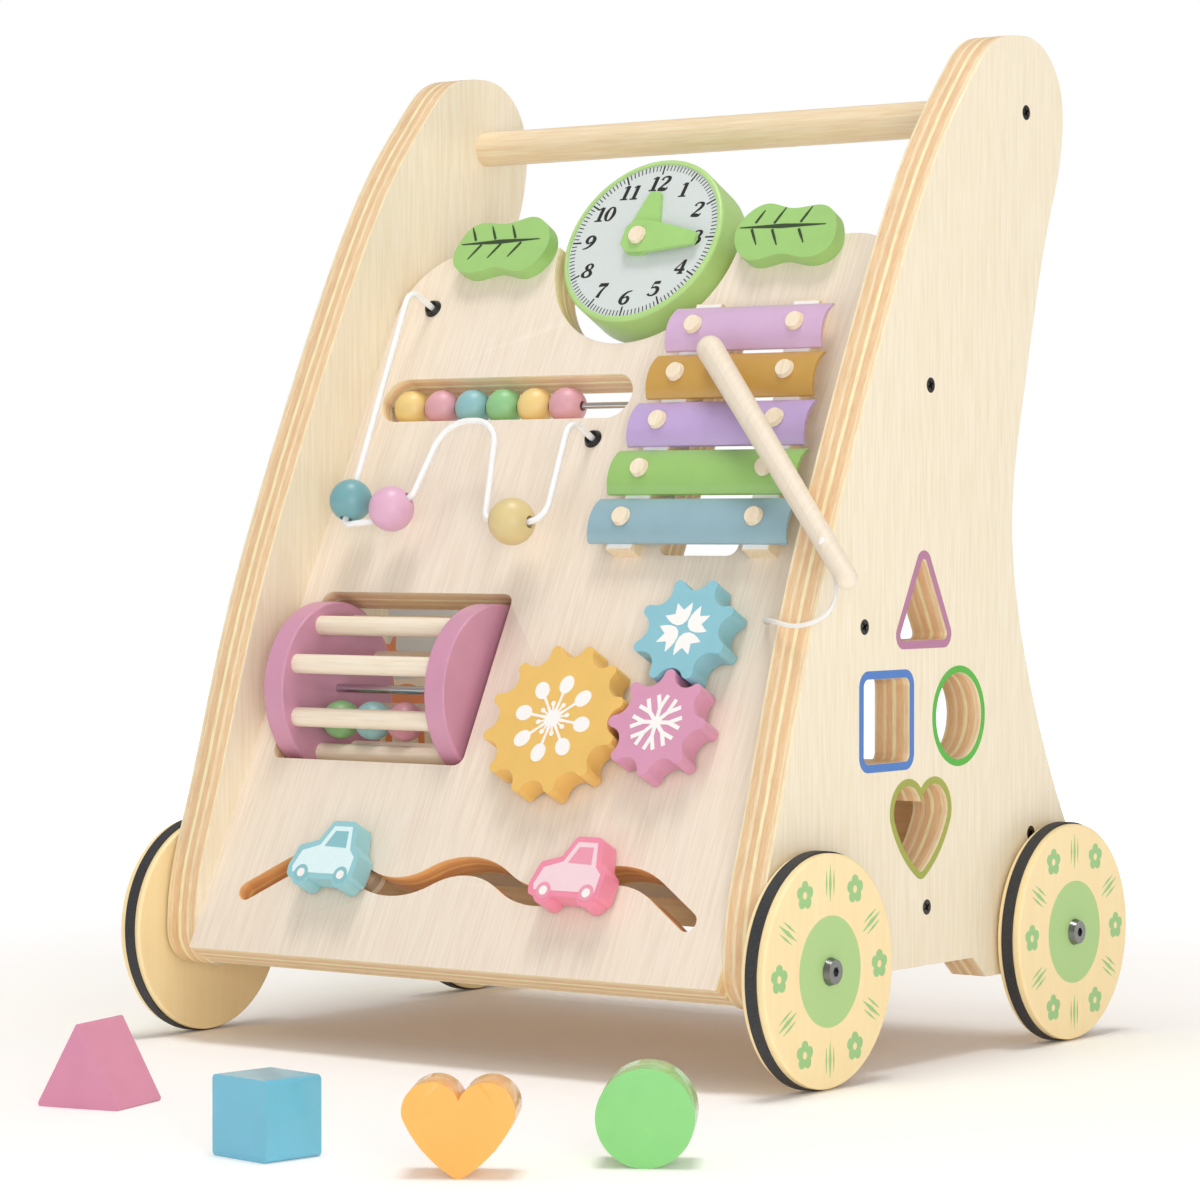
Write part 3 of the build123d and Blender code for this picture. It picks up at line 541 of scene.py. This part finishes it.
cord_path = [vertex.co.copy() for vertex in curve_mesh().vertices]
cord_curve.bevel_depth = CORD_RADIUS * MM
cord_curve.bevel_resolution = 4
cord_curve.use_fill_caps = True
tether = bpy.data.objects.new("tether", curve_mesh())
bpy.context.scene.collection.objects.link(tether)
bpy.data.objects.remove(tether_line)
tether_look = Look("tether_weave", 0.8)
weave = tether_look.node("ShaderNodeTexWave", {
    "Vector": tether_look.place.outputs["Object"], "Scale": 900.0, "Distortion": 2.0},
    bands_direction="DIAGONAL").outputs["Fac"]
tether_look.paint(tether_look.ramp(weave, [(0.2, "e4e1da"), (0.8, "fbfaf6")]))
tether_look.bump(weave, 0.35, 0.0003)
tether.data.materials.clear()
tether.data.materials.append(tether_look.material)
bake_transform(tether)
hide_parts("mallet_cord")

# The knot that shows in the mallet's hole.
bpy.ops.mesh.primitive_uv_sphere_add(segments=20, ring_count=12, radius=1.9 * MM,
                                     location=on_panel(171.9, 184.1, 48.2))
knot = bpy.context.object
knot.name = "tether_knot"
knot.scale = (1.0, 0.8, 1.0)
knot.data.shade_smooth()
knot.data.materials.append(tether_look.material)
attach(knot, "mallet")

# ---- wheel prints ----
wheel_green = ink("wheel_print", "a0cd88")
wheel_centre = ink("wheel_centre_print", "b3d68d")


def wheel_place(sign, y):
    """Points on a wheel's outer face, u to the right and v up as it is seen from outside."""
    return lambda u, v, depth: Vector(
        (sign * (WHEEL_FACE_X + depth), y + sign * u, WHEEL_RADIUS + v)) * MM


def flower(x, y):
    """Five round petals about an open middle, as an outline and its hole."""
    reach, petal, middle = 3.6, 2.55, 1.6
    points = 80
    outer = []
    inner = []
    for k in range(points):
        a = 2 * pi * k / points
        off = (a + pi / 5) % (2 * pi / 5) - pi / 5
        radius = reach * cos(off) + (petal ** 2 - (reach * sin(off)) ** 2) ** 0.5
        outer.append((x + radius * cos(a + pi / 2), y + radius * sin(a + pi / 2)))
        inner.append((x + middle * cos(a + pi / 2), y + middle * sin(a + pi / 2)))
    return [outer, inner]


FLOWER_RING = 38.2
# The three strokes between two flowers: shift to the side, inner and outer radius, thickness.
TRIPLET = ((-2.8, 31.6, 42.4, 1.15), (0, 29.0, 44.6, 2.0), (2.8, 31.6, 42.4, 1.15))

for corner, (sign, y) in WHEELS.items():
    place = wheel_place(sign, y)
    body = f"wheel_{corner}_assembly"
    shapes = []
    holed = []
    for hour in range(12):
        a = pi / 2 - hour * pi / 6
        if hour % 2:
            holed.append(len(shapes))
            shapes += flower(FLOWER_RING * cos(a), FLOWER_RING * sin(a))
            continue
        for shift, inside, outside, thick in TRIPLET:
            ends = [(r * cos(a) - shift * sin(a), r * sin(a) + shift * cos(a))
                    for r in (inside, outside)]
            shapes.append(stroke(ends[0], ends[1], 0.08, 0.08, thick))
    inked(f"print_{corner}", shapes, place, wheel_green, body, holes=holed)
    disc = [circle(0, 0, 23.35, 72), circle(0, 0, 4.0, 72)]
    inked(f"centre_{corner}", disc, place, wheel_centre, body, holes=(0,))

# ---- clock dial ----
dial_grey = ink("dial_grey", "d3dad8")
dial_black = ink("dial_black", "20211f")


def dial_place(u, v, depth):
    """A point on the dial, from its middle."""
    return on_panel(CLOCK[0] + u, CLOCK[1] + v, DIAL_H + depth)


inked("dial", [circle(0, 0, 40.9, 96), circle(0, 0, 2.6, 96)], dial_place, dial_grey, "frame",
      low=-0.02, high=0.08, holes=(0,))
ticks = []
for mark in range(120):
    a = pi / 2 - mark * pi / 60
    inside, thick = (35.5, 0.85) if mark % 10 == 0 else (37.5, 0.5)
    ticks.append(stroke((inside * cos(a), inside * sin(a)), (40.4 * cos(a), 40.4 * sin(a)),
                        thick, thick))
inked("dial_ticks", ticks, dial_place, dial_black, "frame", low=0.05, high=0.14)

# Each digit is a few strokes of (x, y, width) points in a box one unit high.
DIGITS = {
    "0": [([(0.52, 0.5, 0.17), (0.44, 0.86, 0.11), (0.3, 0.97, 0.06), (0.16, 0.86, 0.11),
            (0.08, 0.5, 0.17), (0.16, 0.14, 0.11), (0.3, 0.03, 0.06), (0.44, 0.14, 0.11)], True)],
    "1": [([(0.1, 0.84, 0.05), (0.3, 0.97, 0.08)], False),
          ([(0.32, 0.99, 0.17), (0.32, 0.03, 0.17)], False),
          ([(0.1, 0.03, 0.06), (0.54, 0.03, 0.06)], False)],
    "2": [([(0.08, 0.74, 0.13), (0.14, 0.92, 0.07), (0.32, 0.97, 0.08), (0.49, 0.86, 0.15),
            (0.46, 0.62, 0.15), (0.24, 0.32, 0.08), (0.06, 0.08, 0.06)], False),
          ([(0.05, 0.08, 0.12), (0.3, 0.08, 0.17), (0.5, 0.06, 0.12), (0.58, 0.22, 0.04)], False)],
    "3": [([(0.08, 0.78, 0.12), (0.16, 0.94, 0.07), (0.34, 0.97, 0.08), (0.47, 0.84, 0.15),
            (0.42, 0.62, 0.12), (0.24, 0.53, 0.05)], False),
          ([(0.24, 0.54, 0.05), (0.46, 0.48, 0.1), (0.53, 0.27, 0.17), (0.4, 0.06, 0.1),
            (0.18, 0.03, 0.07), (0.07, 0.16, 0.13)], False)],
    "4": [([(0.44, 0.99, 0.05), (0.03, 0.3, 0.07)], False),
          ([(0.02, 0.27, 0.1), (0.62, 0.27, 0.1)], False),
          ([(0.44, 0.97, 0.15), (0.42, 0.02, 0.17)], False),
          ([(0.26, 0.03, 0.06), (0.58, 0.03, 0.06)], False)],
    "5": [([(0.17, 0.91, 0.13), (0.52, 0.93, 0.14)], False),
          ([(0.17, 0.95, 0.05), (0.11, 0.52, 0.05)], False),
          ([(0.11, 0.53, 0.05), (0.33, 0.6, 0.1), (0.51, 0.45, 0.16), (0.5, 0.2, 0.16),
            (0.32, 0.03, 0.08), (0.12, 0.05, 0.07), (0.06, 0.16, 0.13)], False)],
    "6": [([(0.56, 0.95, 0.05), (0.3, 0.84, 0.09), (0.11, 0.54, 0.16), (0.1, 0.24, 0.17),
            (0.28, 0.03, 0.07), (0.47, 0.14, 0.14), (0.51, 0.36, 0.15), (0.38, 0.54, 0.08),
            (0.15, 0.42, 0.05)], False)],
    "7": [([(0.08, 0.76, 0.05), (0.12, 0.93, 0.1)], False),
          ([(0.1, 0.91, 0.16), (0.6, 0.92, 0.15)], False),
          ([(0.58, 0.93, 0.05), (0.34, 0.5, 0.12), (0.24, 0.02, 0.18)], False)],
    "8": [([(0.47, 0.76, 0.13), (0.42, 0.9, 0.1), (0.3, 0.97, 0.06), (0.18, 0.9, 0.1),
            (0.13, 0.76, 0.15), (0.2, 0.62, 0.13), (0.3, 0.55, 0.08), (0.42, 0.62, 0.08)], True),
          ([(0.53, 0.25, 0.16), (0.45, 0.44, 0.12), (0.3, 0.53, 0.08), (0.14, 0.43, 0.08),
            (0.07, 0.25, 0.15), (0.14, 0.1, 0.12), (0.3, 0.03, 0.06), (0.46, 0.1, 0.12)], True)],
}
DIGITS["9"] = [([(0.6 - x, 1 - y, width) for x, y, width in line], closed)
               for line, closed in DIGITS["6"]]
NUMERAL_RING = 30.6
NUMERAL_HEIGHT = 7.6
NUMERAL_WIDEN = 1.26
NUMERAL_BOLD = 1.55
NUMERAL_SLANT = 0.17
numerals = []
numeral_holes = []
for number in range(1, 13):
    a = pi / 2 - number * pi / 6
    digits = str(number)
    for place_in_number, digit in enumerate(digits):
        shift = 0.58 * (place_in_number - (len(digits) - 1) / 2) - 0.3
        for line, closed in DIGITS[digit]:
            if closed:
                numeral_holes.append(len(numerals))
            edges = ribbon([(NUMERAL_WIDEN * (x + shift), y, NUMERAL_BOLD * width)
                            for x, y, width in line], closed)
            rings = edges if closed else [edges[0] + edges[1][::-1]]
            for ring in rings:
                numerals.append([
                    (NUMERAL_RING * cos(a) + NUMERAL_HEIGHT * (x + NUMERAL_SLANT * (y - 0.5)),
                     NUMERAL_RING * sin(a) + NUMERAL_HEIGHT * (y - 0.5)) for x, y in ring])
inked("dial_numerals", numerals, dial_place, dial_black, "frame", low=0.05, high=0.12,
      holes=numeral_holes, rise=0.002)

# ---- leaf veins ----
vein_ink = ink("vein_ink", "33452a")


def leaf_place(u, v, depth):
    """A point on the leaves' faces, from the panel's middle line and the leaves' own height."""
    return on_panel(u, LEAF_S + v, LEAF_H + depth)


veins_left = [stroke((-111.7, 1.4), (-65.1, 2.6), 0.5, 0.5, 2.4)]
for x, y in ((-103.6, 2.0), (-91.8, 2.2), (-79.8, 2.4)):
    veins_left.append(stroke((x, y + 1.2), (x - 4.3, y + 8.6), 1.3, 0.5, 1.3))
    veins_left.append(stroke((x + 4.2, y - 1.2), (x - 1.6, y - 9.0), 1.3, 0.5, 1.3))
inked("veins_left", veins_left, leaf_place, vein_ink, "frame", rise=0.01)

veins_right = [stroke((50.0, 2.7), (96.9, 2.6), 0.5, 0.5, 2.4)]
for start, end in (((-17.7, 4.8), (-14.2, 11.5)), ((-7.3, 4.2), (-2.9, 12.5)),
                   ((7.1, 4.2), (11.3, 12.2)), ((-18.9, 1.7), (-13.9, -6.8)),
                   ((-7.5, 1.1), (-2.6, -7.4)), ((7.1, 0.8), (11.7, -6.7))):
    veins_right.append(stroke((RIGHT_LEAF_X + start[0], start[1]),
                              (RIGHT_LEAF_X + end[0], end[1]), 1.3, 0.5, 1.3))
inked("veins_right", veins_right, leaf_place, vein_ink, "frame", rise=0.01)

# ---- gear prints ----
print_white = ink("print_white", "f7f4f1")


def gear_place(x, s):
    """Points on a gear's face, from its middle."""
    return lambda u, v, depth: on_panel(x + u, s + v, GEAR_H + depth)


# A dandelion, a snowflake and four tulips.
dandelion = [circle(0, 0, 2.6, 24)]
for k in range(8):
    a = radians(45 * k - 8)
    dandelion.append(turned(stroke((1.5, 0), (14.0, 0), 2.2, 1.5, 1.1), a))
    dandelion.append(circle(16.6 * cos(a), 16.6 * sin(a), 4.4, 32, 0.84, a))
    b = a + pi / 8
    dandelion.append(turned(stroke((1.5, 0), (6.8, 0), 2.0, 1.0, 0.9), b))
    dandelion.append(circle(7.4 * cos(b), 7.4 * sin(b), 1.3, 20, 0.85, b))
inked("print_gear_yellow", dandelion, gear_place(*GEAR_YELLOW), print_white, "gear_yellow",
      rise=0.006)

snowflake = [circle(0, 0, 2.6, 24)]
for k in range(8):
    a = radians(45 * k)
    snowflake.append(turned(stroke((0, 0), (7.4, 0), 1.9, 1.9), a))
    for side in (-1, 1):
        snowflake.append(turned(stroke((6.6, 0), (12.9, side * 2.5), 1.9, 1.9), a))
inked("print_gear_pink", snowflake, gear_place(*GEAR_PINK), print_white, "gear_pink", rise=0.006)

tulip = [(2.4, 0), (3.2, -2.6), (5.2, -4.6), (7.8, -6.0), (10.7, -7.0), (9.1, -2.2), (14.0, 0),
         (9.1, 2.2), (10.7, 7.0), (7.8, 6.0), (5.2, 4.6), (3.2, 2.6)]
tulips = [turned(tulip, radians(28) + k * pi / 2) for k in range(4)]
inked("print_gear_blue", tulips, gear_place(*GEAR_BLUE), print_white, "gear_blue")

# ---- car prints: a light body, a window and two wheels ----
car_prints = {
    "blue": (-71.3, 44.86, ink("car_light_blue", "e0f6f9"), ink("car_window_blue", "8cc3cb")),
    "pink": (65.0, 43.99, ink("car_light_pink", "f5d6dd"), ink("car_window_pink", "ee9db2")),
}
car_body = [(-17.1, -9.4), (-17.9, -6.8), (-14.9, 1.0), (-5.5, 4.1), (-0.4, 13.4), (9.8, 13.4),
            (12.2, 2.4), (15.6, -0.9), (15.1, -9.4)]
car_window = [(-3.0, 3.6), (1.0, 11.2), (8.4, 11.2), (9.6, 3.2)]
car_wheels = ((-11.8, -9.6), (11.0, -9.6))


def car_place(x, s):
    """Points on a car's face, from its peg."""
    return lambda u, v, depth: on_panel(x + u, s + v, CAR_H + depth)


for name, (x, s, light, dark) in car_prints.items():
    place, body = car_place(x, s), f"car_{name}"
    inked(f"car_{name}_print", [car_body], place, light, body)
    marks = [car_window] + [circle(u, v, 3.9, 32) for u, v in car_wheels]
    inked(f"car_{name}_marks", marks, place, dark, body, low=0.06, high=0.16)
    hubs = [circle(u, v, 2.1, 24) for u, v in car_wheels]
    inked(f"car_{name}_hubs", hubs, place, print_white, body, low=0.12, high=0.22)


# ---- painted borders of the sorter holes: each outline is grown from the hole's own ----
def rounded(corners_given, radius, steps=8):
    """A polygon with its corners rounded."""
    ring = []
    count = len(corners_given)
    for k in range(count):
        here = Vector(corners_given[k])
        before = (Vector(corners_given[k - 1]) - here).normalized()
        after = (Vector(corners_given[(k + 1) % count]) - here).normalized()
        half = before.angle(after) / 2
        centre = here + (before + after).normalized() * (radius / sin(half))
        reach = radius / sin(half) * cos(half)
        first, last = here + before * reach - centre, here + after * reach - centre
        for step in range(steps + 1):
            arm = (first * (1 - step / steps) + last * (step / steps)).normalized() * radius
            ring.append(tuple(centre + arm))
    return ring


def border_place(u, v, depth):
    """A point on the right side's outer face."""
    return Vector((SIDE_OUTER_X + depth, u, v)) * MM


def border(name, code, inner, outer):
    """A painted band between two outlines."""
    inked(name, [outer, inner], border_place, ink(name + "_ink", code), "frame", holes=(0,))


def triangle(grow):
    """The triangle hole's outline, grown outwards."""
    y, z = TRIANGLE_HOLE
    half, bottom, top = 21 + 1.65 * grow, z - 19 - grow, z + 19 + 2.2 * grow
    return rounded([(y - half, bottom), (y + half, bottom), (y, top)], 2.4 + grow)


def square(grow):
    """The square hole's outline, grown outwards."""
    y, z = SQUARE_HOLE
    w, h = 18.5 + grow, 18.25 + grow
    return rounded([(y - w, z - h), (y + w, z - h), (y + w, z + h), (y - w, z + h)], 3.4 + grow)


def arc(centre, radius, first, last, steps=14):
    """Points along an arc, both ends included."""
    return [(centre[0] + radius * cos(first + (last - first) * k / steps),
             centre[1] + radius * sin(first + (last - first) * k / steps))
            for k in range(steps + 1)]


def centre_of(a, b, c):
    """The middle of the circle through three points."""
    (ax, ay), (bx, by), (cx, cy) = a, b, c
    d = 2 * (ax * (by - cy) + bx * (cy - ay) + cx * (ay - by))
    ta, tb, tc = ax * ax + ay * ay, bx * bx + by * by, cx * cx + cy * cy
    return ((ta * (by - cy) + tb * (cy - ay) + tc * (ay - by)) / d,
            (ta * (cx - bx) + tb * (ax - cx) + tc * (bx - ax)) / d)


def heart(grow):
    """The heart hole's outline, grown outwards, from the same arcs as the hole."""
    side, top, height = 22.0, HOLE_TOP, 2 * HOLE_TOP
    tip_radius = 3.0
    notch = (0, top - 0.19 * height)
    widest = (side, top - 0.37 * height)
    lobe = centre_of(notch, (0.5 * side, top), widest)
    flank = centre_of(widest, (0.64 * side, top - 0.70 * height), (0, -top))
    lobe_r = ((widest[0] - lobe[0]) ** 2 + (widest[1] - lobe[1]) ** 2) ** 0.5
    flank_r = ((widest[0] - flank[0]) ** 2 + (widest[1] - flank[1]) ** 2) ** 0.5
    tip = (0, flank[1] - ((flank_r - tip_radius) ** 2 - flank[0] ** 2) ** 0.5)
    cleft = pi - acos(lobe[0] / (lobe_r + grow))
    low = atan2(tip[1] - flank[1], tip[0] - flank[0])
    right = arc(lobe, lobe_r + grow, cleft, atan2(widest[1] - lobe[1], widest[0] - lobe[0]))
    right += arc(flank, flank_r + grow, atan2(widest[1] - flank[1], widest[0] - flank[0]), low)
    right += arc(tip, tip_radius + grow, low, -pi / 2, 6)
    left = [(-x, y) for x, y in reversed(right)]
    return [(HEART_HOLE[0] + x, HEART_HOLE[1] + y) for x, y in right[:-1] + left[:-1]]


border("border_triangle", "b87c9c", triangle(0.05), triangle(3.6))
border("border_square", "4d7ec8", square(0.05), square(3.6))
border("border_circle", "57b83c", circle(*CIRCLE_HOLE, HOLE_TOP, 72),
       circle(*CIRCLE_HOLE, 22.3, 72))
border("border_heart", "a5ab45", heart(0.05), heart(3.2))


# ---- white strips on the chime rails ----
def rail_x(sign, s):
    """Where the middle of a rail is at s: the rails lean, and are 27.6 from the middle at 311.1."""
    return CHIME_X + sign * (27.6 + (311.1 - s) * tan(radians(4.75)))


strip_corners = ((200.5, -6.6), (200.5, 6.6), (324.5, 6.6), (324.5, -6.6))
strips = [[(rail_x(sign, s) + across, s) for s, across in strip_corners] for sign in (-1, 1)]
inked("rail_strips", strips, on_panel, ink("strip_white", "f4f4f2", 0.35), "frame",
      low=RAIL_H - 0.04, high=RAIL_H + 0.06)


# ---- the print inside the left side: a plain orange animal on a pale ground ----
def inner_place(u, v, depth):
    """A point on the left side's inner face."""
    return Vector((SIDE_INNER_X + depth, u, v)) * MM


ground = rounded([(4, 161), (74, 161), (62, 214), (4, 214)], 4.0)
inked("picture_ground", [ground], inner_place, ink("picture_grey", "d9dad6"), "frame")
animal = [
    circle(17, 148, 17, 40, 0.62), circle(3, 171, 8.5, 32, 0.86),
    stroke((4, 150), (2, 168), 11, 8), stroke((5, 146), (3, 120), 6, 3.6),
    stroke((28, 146), (30, 120), 6, 3.6), stroke((32, 152), (46, 166), 4, 9),
    [(-3, 175), (-4, 186), (2, 178)], [(5, 178), (10, 186), (9, 175)],
]
inked("picture_animal", animal, inner_place, ink("picture_orange", "ee8a45"), "frame",
      low=0.06, high=0.14, rise=0.006)
belly = [circle(16, 144, 10, 32, 0.5), circle(1, 168, 4.5, 24, 0.8), circle(44, 166, 3.2, 20)]
inked("picture_belly", belly, inner_place, ink("picture_cream", "fbd9a8"), "frame",
      low=0.16, high=0.26, rise=0.006)

# ---- floor and lights: a pale floor whose glow is painted light, dimmed near the toy into a painted shadow ----
bpy.ops.mesh.primitive_plane_add(size=14, location=(0, 0, 0))
floor = bpy.context.object
floor.name = "floor"
floor_look = Look("floor_painted_light", 0.9)
floor_look.paint(floor_look.ramp(floor_look.noise(floor_look.stretched((0.6, 0.6, 0.6))),
                                 [(0.0, "fbfaf9"), (1.0, "ffffff")]))
away = floor_look.node("ShaderNodeVectorMath", {0: floor_look.place.outputs["Object"]},
                       operation="LENGTH").outputs["Value"]
# Painted shadow and light: the floor's emission is dark warm brown beneath the toy and grows pale
# with distance from it.
PAINTED_SHADOW_REACH = 1.5
painted_floor_light = floor_look.ramp(floor_look.calc("DIVIDE", away, PAINTED_SHADOW_REACH), [
    (0.10, "3d342d"), (0.24, "5f5853"), (0.45, "85868a"), (0.80, "d0d5db")])
floor_look.tree.links.new(painted_floor_light, floor_look.shader.inputs["Emission Color"])
floor_look.shader.inputs["Emission Strength"].default_value = 1.0
floor.data.materials.append(floor_look.material)

# The room lights the toy softly, and looks plain white behind it.
world = bpy.data.worlds.new("studio")
world.use_nodes = True
sky = world.node_tree.nodes
room = sky["Background"]
room.inputs["Color"].default_value = (1.0, 0.985, 0.965, 1)
room.inputs["Strength"].default_value = 0.45
backdrop = sky.new("ShaderNodeBackground")
backdrop.inputs["Color"].default_value = (1, 1, 1, 1)
seen = sky.new("ShaderNodeLightPath")
blend_sky = sky.new("ShaderNodeMixShader")
world.node_tree.links.new(seen.outputs["Is Camera Ray"], blend_sky.inputs[0])
world.node_tree.links.new(room.outputs[0], blend_sky.inputs[1])
world.node_tree.links.new(backdrop.outputs[0], blend_sky.inputs[2])
world.node_tree.links.new(blend_sky.outputs[0], sky["World Output"].inputs["Surface"])
bpy.context.scene.world = world


def softbox(name, place, aim, size, power, tint):
    """A square light that faces the point it aims at."""
    data = bpy.data.lights.new(name, "AREA")
    data.size = size
    data.energy = power
    data.color = tint
    lamp = bpy.data.objects.new(name, data)
    lamp.location = place
    lamp.rotation_euler = (Vector(aim) - Vector(place)).to_track_quat("-Z", "Y").to_euler()
    bpy.context.scene.collection.objects.link(lamp)


softbox("key", (2.5, -1.7, 1.6), (0, 0, 0.1), 1.3, 8.5, (1, 0.985, 0.96))
softbox("top", (0.15, -0.25, 3.2), (0, 0, 0.1), 1.0, 43, (1, 0.995, 0.985))
softbox("low", (1.3, -1.5, 0.25), (0, 0, 0.05), 0.6, 9.5, (1, 0.985, 0.965))
bpy.context.scene.view_settings.view_transform = "Standard"
